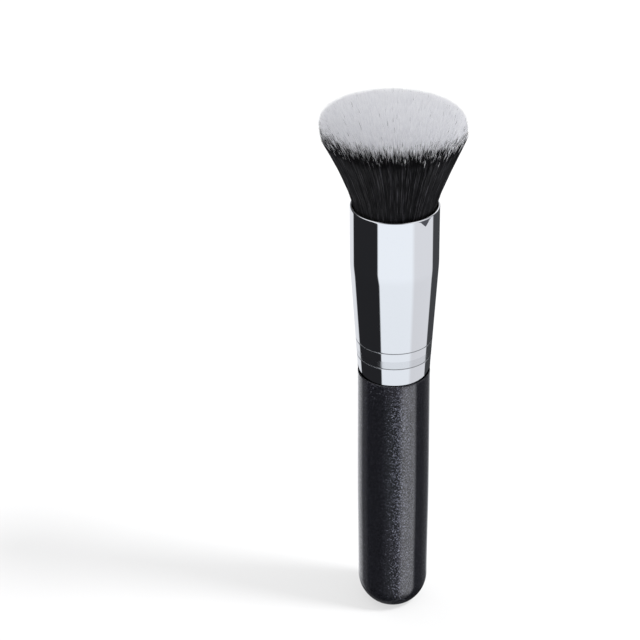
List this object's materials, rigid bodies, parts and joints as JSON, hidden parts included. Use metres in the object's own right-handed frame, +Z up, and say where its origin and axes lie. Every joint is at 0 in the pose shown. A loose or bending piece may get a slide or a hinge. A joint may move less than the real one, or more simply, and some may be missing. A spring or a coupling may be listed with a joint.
{
  "type": "foundation brush",
  "caption": "Flat-top foundation brush: dense flared tuft of dark fibres with white tips, tapered polished metal ferrule and a thick dark lacquered handle with a domed end.",
  "frame": {"origin": "centre of the small flat at the end of the handle, on which the brush stands", "axes": "+Z runs up the brush's axis from the handle's end to the bristle tips; the brush is round, so +X and +Y are any two square directions"},
  "size_m": [0.0395, 0.0396, 0.1549],
  "materials": {
    "handle_lacquer": "turned hardwood under dark satin-gloss lacquer with fine metallic glitter",
    "ferrule_metal": "bright polished plated metal",
    "glue": "set adhesive, hidden inside the ferrule",
    "resin": "set resin, hidden inside the ferrule",
    "bristle_fibre": "soft synthetic fibre, dark with white dipped tips"
  },
  "bodies": {
    "root": {"handle": "handle_lacquer", "ferrule": "ferrule_metal", "handle_glue": "glue", "root_resin": "resin", "bristle_tuft": "bristle_fibre"}
  },
  "joints": []
}
